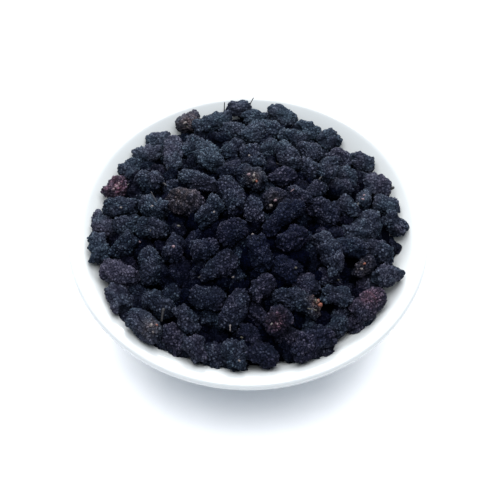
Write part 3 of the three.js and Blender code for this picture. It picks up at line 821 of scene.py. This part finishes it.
def add_stalk(shell, start, run, thickness, paint=STALK):
    """Add a stalk from a point on the skin, as a tube that is closed to a point at each end.

    Circles are carried along a line that sinks with the square of the way, widest at its foot.
    """
    share = np.linspace(STALK_ROOT, 1, len(STALK_RADII))[:, None]
    path = start + np.array(run) * share - np.array([0, 0, STALK_SAG]) * np.linalg.norm(run) * share**2
    radii = thickness / 2 * np.array(STALK_RADII)
    ahead = unit(np.gradient(path, axis=0))
    aside = unit(np.cross(ahead, STALK_SIDE))
    above = np.cross(ahead, aside)
    turn = angles(STALK_SIDES)[:, None]
    circle = np.cos(turn) * aside[:, None] + np.sin(turn) * above[:, None]
    rings = path[:, None] + circle * radii[:, None, None]
    tips = [path[end] + sign * ahead[end] * radii[end] * STALK_TIP for end, sign in ((0, -1), (-1, 1))]
    shell.add(tips[0], rings, tips[1], SEED_LOOK, paint)


def add_marks(shell, fruit):
    """Add the seeds and the stalk of one fruit; a share of the others keeps a short stub of stalk."""
    for number, *seed in SEEDS:
        if number == fruit.number:
            add_seed(shell, fruit, *seed)
    stalks = [row for row in STALKS if row[0] == fruit.number]
    for _, t, turn, run, thickness, paint in stalks:
        add_stalk(shell, skin_place(fruit, t, turn)[0], run, thickness, paint)
    rng = random_for(fruit, 2)
    if fruit.number >= len(COLOURED_FRUITS) and not stalks and rng.uniform() < STUB_SHARE:
        start, out = skin_place(fruit, STUB_PLACE, rng.uniform(0, 360))
        run = (out - fruit.along) / 2 * rng.uniform(*STUB_LENGTH)
        add_stalk(shell, start, run, STUB_THICKNESS)


def quadratic(start, control, end, count):
    """Points of a curve that leaves start towards control and comes into end from control."""
    t = np.linspace(0, 1, count)[:, None]
    start, control, end = np.array(start), np.array(control), np.array(end)
    return (1 - t) ** 2 * start + 2 * t * (1 - t) * control + t**2 * end


def wall_line(first, last, count, off):
    """Points on the inner wall between two radii, or moved off it square to its surface."""
    r = np.linspace(first, last, count)
    slope = wall_slope(r)
    steep = np.sqrt(1 + slope * slope)
    return np.stack([r - off * slope / steep, wall_height(r) + off / steep], axis=1)


def bowl_profile():
    """Half outline of the bowl, in radius and height.

    It runs from the middle of the underside over the foot ring, up the outside of the wall, round
    the lip, which is an arc of an ellipse, and down the inner wall to the middle of the floor.
    The small offsets ease one stretch into the next, and each curve ends with its count of points.
    """
    rim_radius = LIP_OUTER_RADIUS - LIP_EDGE_HALF_WIDTH
    rim_height = BOWL_HEIGHT - LIP_EDGE_HALF_HEIGHT
    under_lip = BOWL_HEIGHT - 2 * LIP_EDGE_HALF_HEIGHT
    foot_in, foot_out, edge = FOOT_INNER_RADIUS, FOOT_OUTER_RADIUS, FOOT_ROUNDING
    outside = wall_line(foot_out + WALL_START_OUT, LIP_INNER_RADIUS - 1.1, 30, -WALL_THICKNESS)
    inside = wall_line(FLOOR_RADIUS, LIP_INNER_RADIUS - 0.8, 44, 0)[::-1]
    corner = LIP_INNER_RADIUS + 1.9
    flare = (foot_out + FOOT_FLARE[0], FOOT_FLARE[1])
    turn = np.linspace(-math.pi / 2, math.pi / 2, 17)
    rim = np.stack([LIP_EDGE_HALF_WIDTH * np.cos(turn), LIP_EDGE_HALF_HEIGHT * np.sin(turn)], axis=1)
    return np.concatenate([
        [(r, FOOT_RECESS) for r in RECESS_RINGS],
        quadratic((foot_in - FOOT_FILLET, FOOT_RECESS), (foot_in, FOOT_RECESS), (foot_in, edge), 6),
        quadratic((foot_in + 0.05, edge - 0.1), (foot_in, 0), (foot_in + edge, 0), 5),
        [(foot_in + edge + 0.3, 0), (foot_out - edge - 0.3, 0)],
        quadratic((foot_out - edge, 0), (foot_out, 0), (foot_out, edge), 5),
        quadratic((foot_out + 0.02, edge + 0.3), flare, outside[0], 10)[:-1],
        outside[:-1],
        quadratic(outside[-1], (corner, under_lip), (corner + 1.5, under_lip), 6),
        [(rim_radius - 0.2, under_lip)],
        rim + (rim_radius, rim_height),
        [(rim_radius - 0.15, BOWL_HEIGHT), (LIP_FLAT_START + 0.2, BOWL_HEIGHT)],
        quadratic((LIP_FLAT_START, BOWL_HEIGHT), (LIP_INNER_RADIUS + 0.95, BOWL_HEIGHT), inside[0], 9),
        inside[1:],
        [(r, FLOOR_TOP) for r in FLOOR_RINGS],
    ])


def add_turned(shell, profile, columns):
    """Add a profile turned about the Z axis, from its first point on the axis to its last."""
    r, z = profile[1:-1].T[:, :, None]
    ends = [np.array([0, 0, profile[i, 1]]) for i in (0, -1)]
    shell.add(ends[0], turned(r, angles(columns), z), ends[1], {})


def add_core(shell, rings, columns):
    """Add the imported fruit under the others: out along the wall, over its edge and in over the mound.

    The mound follows the top of the heap at a depth, with waves in two directions.
    """
    turn = angles(columns)
    reach = reach_at(turn) - CORE_INSET
    low_r = reach * np.linspace(0, 1, rings + 1)[1:, None]
    low = turned(low_r, turn, wall_height(low_r) + CORE_WALL_GAP)
    share = np.linspace(1, 0, rings + 1)[:-1, None]
    inward, upward = CORE_EDGE_STEP
    high = turned((reach - inward) * share, turn, 0.0)
    x, y = high[..., 0], high[..., 1]
    edge = np.clip((1 - share) * CORE_EDGE_STEEPNESS, 0, 1)
    depth = CORE_EDGE_DEPTH + (CORE_DEPTH - CORE_EDGE_DEPTH) * edge
    waves = [np.sin(x * a + y * b) for a, b in CORE_WAVES]
    top = heap_top(x, y) - depth + waves[0] * waves[1] * CORE_WAVE_HEIGHT * edge
    floor = wall_height((reach - inward) * share) + CORE_WALL_GAP + upward
    high[..., 2] = np.maximum(top, floor)
    first = np.array([0, 0, FLOOR_TOP + CORE_WALL_GAP])
    last = np.array([0, 0, float(heap_top(0.0, 0.0)) - CORE_DEPTH])
    shell.add(first, np.concatenate([low, high]), last, CORE_PAINTED_SHADE_LOOK)


class Tree:
    """A node tree with short ways to add nodes, set their inputs and link them."""

    def __init__(self, tree):
        self.tree = tree

    def add(self, kind, inputs=None, **settings):
        """Add a node; an input is given a value, or the socket that feeds it."""
        node = self.tree.nodes.new(kind)
        for name, value in settings.items():
            setattr(node, name, value)
        for key, value in (inputs or {}).items():
            if isinstance(value, bpy.types.NodeSocket):
                self.tree.links.new(value, node.inputs[key])
            else:
                node.inputs[key].default_value = value
        return node

    def calc(self, operation, a, b=0.0, c=0.0, clamp=False):
        """The result of a Math node."""
        node = self.add("ShaderNodeMath", {0: a, 1: b, 2: c}, operation=operation, use_clamp=clamp)
        return node.outputs[0]

    def times(self, a, b, plus=0.0, clamp=False):
        """Two values multiplied, plus a third."""
        return self.calc("MULTIPLY_ADD", a, b, plus, clamp)

    def span(self, value, low, high, to_low=0.0, to_high=1.0, smooth=True):
        """A value moved from the range low to high to the range to_low to to_high, clamped."""
        kind = "SMOOTHSTEP" if smooth else "LINEAR"
        inputs = {0: value, 1: low, 2: high, 3: to_low, 4: to_high}
        return self.add("ShaderNodeMapRange", inputs, interpolation_type=kind).outputs[0]

    def blend(self, factor, a, b, kind="MIX"):
        """Two colours mixed by a factor."""
        inputs = {0: factor, 6: a, 7: b}
        return self.add("ShaderNodeMix", inputs, data_type="RGBA", blend_type=kind).outputs[2]

    def shaded(self, colour, value):
        """A colour multiplied by a value."""
        grey = self.add("ShaderNodeCombineColor", {0: value, 1: value, 2: value}).outputs[0]
        return self.blend(1.0, colour, grey, "MULTIPLY")

    def noise(self, vector, size_mm, detail=2.0, roughness=0.5):
        """Noise with features of a size in millimetres."""
        inputs = {"Vector": vector, "Scale": 1 / (size_mm * MM), "Detail": detail, "Roughness": roughness}
        return self.add("ShaderNodeTexNoise", inputs).outputs["Fac"]

    def cell_edges(self, vector, size_mm):
        """Distance to the edge of cells of a size in millimetres, in shares of it."""
        inputs = {"Vector": vector, "Scale": 1 / (size_mm * MM)}
        return self.add("ShaderNodeTexVoronoi", inputs, feature="DISTANCE_TO_EDGE").outputs["Distance"]


def new_group(name, colours, values):
    """A shader node group that puts out colour, roughness and height, with its tree and given sockets."""
    group = bpy.data.node_groups.new(name, "ShaderNodeTree")
    for kind, side, labels in (
        ("Vector", "INPUT", ("Vector",)), ("Color", "INPUT", colours), ("Float", "INPUT", values),
        ("Color", "OUTPUT", ("Color",)), ("Float", "OUTPUT", ("Roughness", "Height")),
    ):
        for label in labels:
            group.interface.new_socket(label, in_out=side, socket_type="NodeSocket" + kind)
    tree = Tree(group)
    return group, tree, tree.add("NodeGroupInput").outputs


@functools.cache
def skin_group():
    """The dried skin of a mulberry: deep colour in its creases, two hazes of bloom on its beads.

    Bloom lies thickest on the beads of a dusty fruit and in patches, and fine cracks break it up;
    the bloom on the beads is partly painted highlight, and the creases and cracks get painted shade.
    Tone says how dusty a fruit is, from about -1 to 2, and also carries painted shade and light by the
    fruit's place; a high tone adds a painted glare veil.
    """
    colours = ("Deep", "Bloom", "Second Bloom", "Stain Color")
    values = ("Crest", "Tone", "Hue Share", "Bloom Share", "Stain")
    group, tree, given = new_group("Mulberry skin", colours, values)
    vector, crest, tone = given["Vector"], given["Crest"], given["Tone"]
    patches = tree.noise(vector, 8.0)
    mottle = tree.noise(vector, 1.6, 3, 0.6)
    crackle = tree.span(tree.cell_edges(vector, 1.2), 0.01, 0.26)

    # The bloom on the bead crests is partly real bloom and partly painted highlight
    beads = tree.span(crest, 0.2, 0.75, 0.15, 1.0)
    dust_and_painted_light = tree.times(tree.span(mottle, 0.35, 0.68, 0.35, 1.15), tree.span(patches, 0.3, 0.7, 0.55, 1.2))
    dust_and_painted_light = tree.times(dust_and_painted_light, tree.calc("MAXIMUM", tree.times(tone, 0.7, 0.75), 0.0))
    dust_and_painted_light = tree.times(dust_and_painted_light, tree.times(crackle, 0.95, 0.22))
    # Painted glare: a haze that grows with the tone and lifts the far, high-tone fruits
    painted_glare_veil = tree.span(tone, -0.3, 2.2, 0.0, 0.42, smooth=False)
    haze = tree.times(tree.times(beads, dust_and_painted_light, painted_glare_veil), given["Bloom Share"])
    shift = tree.span(tree.noise(vector, 9.0, 1), 0.3, 0.7, -0.35, 0.35)
    violet = tree.calc("ADD", given["Hue Share"], shift, clamp=True)
    bloom = tree.blend(violet, given["Bloom"], given["Second Bloom"])

    stained = tree.span(tree.noise(vector, 2.2), 0.35, 0.6, 0.5, 1.0)
    stain = tree.times(given["Stain"], stained)
    haze = tree.times(stain, tree.times(beads, 0.4, 0.05), haze, clamp=True)
    bloom = tree.blend(stain, bloom, given["Stain Color"])
    deep = tree.blend(stain, given["Deep"], tree.blend(0.9, given["Stain Color"], BLACK))
    colour = tree.blend(haze, deep, bloom)

    # Painted shade: the colour is darkened in the creases and along the cracks between the beads, less on
    # dusty fruits and where the painted glare lifts it
    crease = tree.times(tree.span(crest, 0.0, 0.45, 0.25, 1.0), tree.times(crackle, 0.6, 0.48))
    dust_and_glare_lift = tree.span(tone, 0.5, 2.3, 0.0, 0.6)
    colour = tree.shaded(colour, tree.times(tree.calc("SUBTRACT", 1.0, crease), dust_and_glare_lift, crease))
    dull = tree.span(mottle, 0.3, 0.7, -0.06, 0.14)
    rough = tree.calc("ADD", tree.span(crest, 0.1, 0.8, 0.85, 0.6), dull)
    height = tree.times(crackle, 1.1, tree.times(tree.noise(vector, 0.45, 2, 0.6), 0.6))
    tree.add("NodeGroupOutput", {"Color": colour, "Roughness": rough, "Height": height})
    return group


@functools.cache
def glaze_group():
    """Clear glaze over white porcelain: faint clouds, a barely uneven surface and a bare foot."""
    group, tree, given = new_group("Glaze", ("Glaze", "Bare"), ("Gloss Roughness",))
    vector = given["Vector"]
    clouds = tree.noise(vector, 30)
    above = tree.add("ShaderNodeSeparateXYZ", {0: vector}).outputs[2]
    foot = tree.span(above, 0.3 * MM, 0.6 * MM, 1.0, 0.0)
    colour = tree.shaded(given["Glaze"], tree.span(clouds, 0.35, 0.65, 0.975, 1.0))
    colour = tree.blend(foot, colour, given["Bare"])
    rough = tree.calc("ADD", given["Gloss Roughness"], tree.span(clouds, 0.3, 0.7, 0.0, 0.05))
    rough = tree.calc("MAXIMUM", rough, tree.times(foot, 0.8))
    height = tree.times(tree.noise(vector, 0.5, 3), tree.times(foot, 0.6), tree.noise(vector, 9, 1))
    tree.add("NodeGroupOutput", {"Color": colour, "Roughness": rough, "Height": height})
    return group


@functools.cache
def seed_group():
    """A dry seed or stalk: a colour with darker flecks and streaks."""
    group, tree, given = new_group("Seed and stalk", ("Tint",), ())
    flecks = tree.noise(given["Vector"], 0.5, 2, 0.6)
    colour = tree.shaded(given["Tint"], tree.span(flecks, 0.3, 0.65, 0.45, 1.1))
    rough = tree.span(flecks, 0.3, 0.7, 0.45, 0.7)
    tree.add("NodeGroupOutput", {"Color": colour, "Roughness": rough, "Height": flecks})
    return group


def surfaced(name, group, inputs, bump_mm, constants, attributes=()):
    """A material: a group that feeds the colour, roughness and bump of one Principled shader.

    Each pair in attributes is an input of the group and the mesh attribute that it reads.
    """
    material = bpy.data.materials.new(name)
    material.use_nodes = True
    material.node_tree.nodes.clear()
    tree = Tree(material.node_tree)
    inputs = {"Vector": tree.add("ShaderNodeTexCoord").outputs["Object"], **inputs}
    for label, attribute in attributes:
        inputs[label] = tree.add("ShaderNodeAttribute", attribute_name=attribute).outputs["Fac"]
    made = tree.add("ShaderNodeGroup", inputs, node_tree=group).outputs
    bump = {"Height": made["Height"], "Distance": bump_mm * MM, "Strength": 1.0}
    shader = tree.add("ShaderNodeBsdfPrincipled", {
        "Base Color": made["Color"], "Roughness": made["Roughness"],
        "Normal": tree.add("ShaderNodeBump", bump).outputs[0], **constants,
    })
    tree.add("ShaderNodeOutputMaterial", {"Surface": shader.outputs[0]})
    return material


def settings(context):
    """The settings of the scene's bowl, fruit and stage."""
    return [getattr(context.scene, name) for name in SETTINGS]


@functools.cache
def seed_skins():
    """The materials of the seeds and stalks, in the order of their numbers in each piece."""
    _, fruit, _ = settings(bpy.context)
    sheen = {"Specular IOR Level": SEED_SHEEN}
    return [
        surfaced("mulberry_" + name, seed_group(), {"Tint": getattr(fruit, name)}, SEED_BUMP, sheen)
        for name in SEED_NAMES
    ]


@functools.cache
def fruit_skin(kind):
    """The materials of one kind of fruit, made once: its skin, then the seeds and the stalk."""
    _, fruit, _ = settings(bpy.context)
    inner = kind == "inner"
    # The inner kind, for fruits inside the heap, keeps less bloom and a darker deep colour: painted shade
    share, sheen, dark = (INNER_SHADE_BLOOM, INNER_SHEEN, INNER_SHADE_DEEP) if inner else (1, OUTER_SHEEN, 1)
    inputs = {
        "Deep": (*(dark * value for value in fruit.deep[:3]), 1),
        "Bloom": fruit.bloom,
        "Second Bloom": fruit.second_bloom,
        "Stain Color": getattr(fruit, kind + "_stain", fruit.bloom),
        "Bloom Share": fruit.bloom_share * share,
    }
    constants = {"Specular IOR Level": sheen, "Specular Tint": SHEEN}
    attributes = (("Crest", "crest"), ("Tone", "tone"), ("Hue Share", "hue"), ("Stain", "stain"))
    skin = surfaced("mulberry_" + kind, skin_group(), inputs, SKIN_BUMP, constants, attributes)
    return [skin, *seed_skins()]


def colour_property(name, description, default):
    """A colour that a user would change."""
    return bpy.props.FloatVectorProperty(
        name=name, description=description, default=(*default, 1), size=4, min=0, max=1, subtype="COLOR"
    )


def number_property(name, description, default, **limits):
    """A number that a user would change."""
    return bpy.props.FloatProperty(name=name, description=description, default=default, **limits)


class BowlSettings(bpy.types.PropertyGroup):
    """Finish of the bowl."""

    glaze: colour_property("Glaze", "Colour of the glazed porcelain", (0.525, 0.547, 0.553))
    bare: colour_property("Bare foot", "Colour of the porcelain where the foot stands", (0.72, 0.69, 0.64))
    roughness: number_property("Gloss", "Roughness of the glaze", 0.14, min=0, max=1, subtype="FACTOR")


class FruitSettings(bpy.types.PropertyGroup):
    """Colours of the fruit, deep in the creases and on the hazy crests."""

    deep: colour_property("Deep", "Creases of every fruit", (0.0004, 0.0014, 0.0125))
    bloom: colour_property("Bloom", "Hazy crests of every fruit", (0.042, 0.061, 0.083))
    second_bloom: colour_property("Violet bloom", "Second bloom, in patches", (0.061, 0.056, 0.083))
    brown_stain: colour_property("Brown stain", "Patches of the brown fruit", (0.080, 0.060, 0.063))
    orange_stain: colour_property("Orange stain", "Dry tip of one fruit", (0.150, 0.074, 0.052))
    red_stain: colour_property("Red stain", "Patches of the red fruit", (0.125, 0.058, 0.086))
    grey_stain: colour_property("Grey stain", "Patches of the greyish fruit", (0.108, 0.092, 0.106))
    pale_seed: colour_property("Pale seeds", "Seeds that show pale", (0.150, 0.132, 0.130))
    pink_seed: colour_property("Pink seeds", "Seeds that show pink", (0.155, 0.108, 0.125))
    dark_seed: colour_property("Dark seeds", "Seeds that show dull", (0.070, 0.066, 0.054))
    orange_seed: colour_property("Orange seeds", "Seeds that show orange", (0.175, 0.062, 0.042))
    stalk: colour_property("Stalks", "Stalks and stubs", (0.030, 0.029, 0.032))
    bloom_share: number_property("Bloom", "Share of the crests that is hazy", 1.0, min=0, max=2)


class StageSettings(bpy.types.PropertyGroup):
    """Camera, floor and light."""

    elevation: number_property(
        "Elevation", "Height of the camera over the horizon", math.radians(CAMERA_ELEVATION),
        subtype="ANGLE",
    )
    distance: number_property(
        "Distance", "From the camera to what it looks at", CAMERA_DISTANCE * MM,
        min=0.1, subtype="DISTANCE", unit="LENGTH",
    )
    floor: colour_property("Floor", "Colour of the table", (0.955, 0.955, 0.965))
    overhead: number_property("Overhead light", "Power of the soft light above", 32.0, min=0, unit="POWER")
    window: number_property("Back light", "Power of the low light behind", 50.0, min=0, unit="POWER")
    dome: number_property("Dome light", "Strength of the light from all round", 0.4, min=0)


SETTINGS = {
    "mulberry_bowl": BowlSettings, "mulberry_fruit": FruitSettings, "mulberry_stage": StageSettings,
}


def dress(piece, slot, *nodes):
    """Let a piece ride on the body and stand for its nodes; the slot is not used."""
    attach(piece, "root")
    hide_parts(*nodes)


class MULBERRY_OT_bowl(bpy.types.Operator):
    """Turn the white glazed bowl with its flat lip and foot ring"""

    bl_idname = "mulberry.bowl"
    bl_label = "Add bowl"

    def execute(self, context):
        bowl, _, _ = settings(context)
        shell = Shell()
        add_turned(shell, bowl_profile(), BOWL_SIDES)
        inputs = {"Glaze": bowl.glaze, "Bare": bowl.bare, "Gloss Roughness": bowl.roughness}
        glaze = surfaced("white_glaze", glaze_group(), inputs, GLAZE_BUMP, {})
        dress(shell.build("glazed_bowl", [glaze]), "glaze", "bowl")
        return {"FINISHED"}


class MULBERRY_OT_under_fruit(bpy.types.Operator):
    """Pack the mulberries that lie under the top ones, and the mound below them"""

    bl_idname = "mulberry.under_fruit"
    bl_label = "Add mulberries underneath"

    def execute(self, context):
        _, _, under, gaps, _ = placed_fruits()
        shells = {"under": Shell(), "between": Shell(), "packed": Shell()}
        for fruit in under:
            add_fruit(shells["under"], fruit, UNDER_STEP)
        for fruit in gaps:
            add_fruit(shells["between"], fruit, GAP_STEP)
            add_marks(shells["between"], fruit)
        add_core(shells["packed"], CORE_RINGS, CORE_SIDES)
        for name, shell in shells.items():
            # These pieces take the inner skin, whose darker colour is painted shade
            dress(shell.build("mulberries_" + name, fruit_skin("inner")), "black_fruit", "mulberry_heap")
        return {"FINISHED"}


class MULBERRY_OT_black_fruit(bpy.types.Operator):
    """Heap the black mulberries that lie on top, a piece for each side and one for the near rim"""

    bl_idname = "mulberry.black_fruit"
    bl_label = "Add black mulberries"

    def execute(self, context):
        _, black, _, _, rim = placed_fruits()
        if not black:
            raise RuntimeError("no fruit was placed")
        sides = ("right", "back", "left", "front")
        shells = {side: Shell() for side in (*sides, "rim")}
        for fruit in black:
            turn = math.degrees(math.atan2(fruit.centre[1], fruit.centre[0])) + 45
            shell = shells[sides[int(turn % 360 // 90)]]
            add_fruit(shell, fruit, SKIN_STEP)
            add_marks(shell, fruit)
        for fruit in rim:
            add_fruit(shells["rim"], fruit, SKIN_STEP)
        for side, shell in shells.items():
            dress(shell.build("mulberries_" + side, fruit_skin("black")), "black_fruit", "mulberry_heap")
        return {"FINISHED"}


class MULBERRY_OT_coloured_fruit(bpy.types.Operator):
    """Add the ten brown, red and greyish mulberries, a piece each"""

    bl_idname = "mulberry.coloured_fruit"
    bl_label = "Add coloured mulberries"

    def execute(self, context):
        for (node, kind, _, stain), fruit in zip(COLOURED_FRUITS, placed_fruits()[0]):
            shell = Shell()
            add_fruit(shell, fruit, SKIN_STEP, stain)
            add_marks(shell, fruit)
            piece = shell.build(node.replace("mulberry_", "dried_"), fruit_skin(kind))
            dress(piece, SHARED_SLOTS.get(kind, kind) + "_fruit", node)
        return {"FINISHED"}


class MULBERRY_OT_stage(bpy.types.Operator):
    """Set the pale table, the soft light and the camera"""

    bl_idname = "mulberry.stage"
    bl_label = "Add stage"

    def execute(self, context):
        _, _, stage = settings(context)
        scene = context.scene
        scene.view_settings.view_transform = "Standard"

        mesh = bpy.data.meshes.new("table")
        edge = turned(TABLE_RADIUS, angles(TABLE_SIDES), 0.0)
        mesh.from_pydata(edge.tolist(), [], [range(TABLE_SIDES)])
        material = bpy.data.materials.new("pale_table")
        material.use_nodes = True
        inputs = material.node_tree.nodes["Principled BSDF"].inputs
        inputs["Base Color"].default_value = stage.floor
        inputs["Roughness"].default_value = TABLE_ROUGHNESS
        inputs["Specular IOR Level"].default_value = TABLE_SHEEN
        mesh.materials.append(material)
        table = linked("table", mesh)

        world = bpy.data.worlds.new("soft_dome")
        world.use_nodes = True
        world.node_tree.nodes.clear()
        tree = Tree(world.node_tree)
        seen = tree.add("ShaderNodeLightPath").outputs["Is Camera Ray"]
        dome, plain = (
            tree.add("ShaderNodeBackground", {"Color": colour, "Strength": strength}).outputs[0]
            for colour, strength in ((DOME_COLOUR, stage.dome), (WHITE, 1.0))
        )
        mixed = tree.add("ShaderNodeMixShader", {0: seen, 1: dome, 2: plain}).outputs[0]
        tree.add("ShaderNodeOutputWorld", {"Surface": mixed})
        scene.world = world

        for name, place, size in LIGHTS:
            light = bpy.data.lights.new(name, "AREA")
            light.shape = "DISK"
            light.size = size
            light.energy = getattr(stage, name)
            lamp = linked(name, light)
            lamp.location = place
            lamp.rotation_euler = (-math.atan2(place[1], place[2]), 0, 0)

        camera = bpy.data.cameras.new("camera")
        camera.lens = CAMERA_LENS
        camera.sensor_width = CAMERA_SENSOR
        camera.clip_start = CAMERA_NEAR * MM
        scene.camera = linked("camera", camera)
        x, y, z = (value * MM for value in CAMERA_TARGET)
        away = stage.distance
        back, up = away * math.cos(stage.elevation), away * math.sin(stage.elevation)
        scene.camera.location = (x, y - back, z + up)
        scene.camera.rotation_euler = (math.pi / 2 - stage.elevation, 0, 0)
        return {"FINISHED"}


class VIEW3D_PT_mulberries(bpy.types.Panel):
    """Settings and pieces of the bowl of mulberries"""

    bl_label = "Bowl of dried mulberries"
    bl_space_type = "VIEW_3D"
    bl_region_type = "UI"
    bl_category = "Mulberries"

    def draw(self, context):
        for group in settings(context):
            box = self.layout.box()
            for name in group.bl_rna.properties.keys():
                if name not in ("rna_type", "name"):
                    box.prop(group, name)
        for operator in OPERATORS:
            self.layout.operator(operator.bl_idname)


OPERATORS = (
    MULBERRY_OT_bowl, MULBERRY_OT_under_fruit, MULBERRY_OT_black_fruit, MULBERRY_OT_coloured_fruit,
    MULBERRY_OT_stage,
)
CLASSES = (*SETTINGS.values(), *OPERATORS, VIEW3D_PT_mulberries)


def register():
    for made in CLASSES:
        bpy.utils.register_class(made)
    for name, group in SETTINGS.items():
        setattr(bpy.types.Scene, name, bpy.props.PointerProperty(type=group))


def unregister():
    for name in SETTINGS:
        delattr(bpy.types.Scene, name)
    for made in reversed(CLASSES):
        bpy.utils.unregister_class(made)


def main():
    register()
    bpy.ops.mulberry.bowl()
    bpy.ops.mulberry.under_fruit()
    bpy.ops.mulberry.black_fruit()
    bpy.ops.mulberry.coloured_fruit()
    bpy.ops.mulberry.stage()


if __name__ == "__main__":
    main()
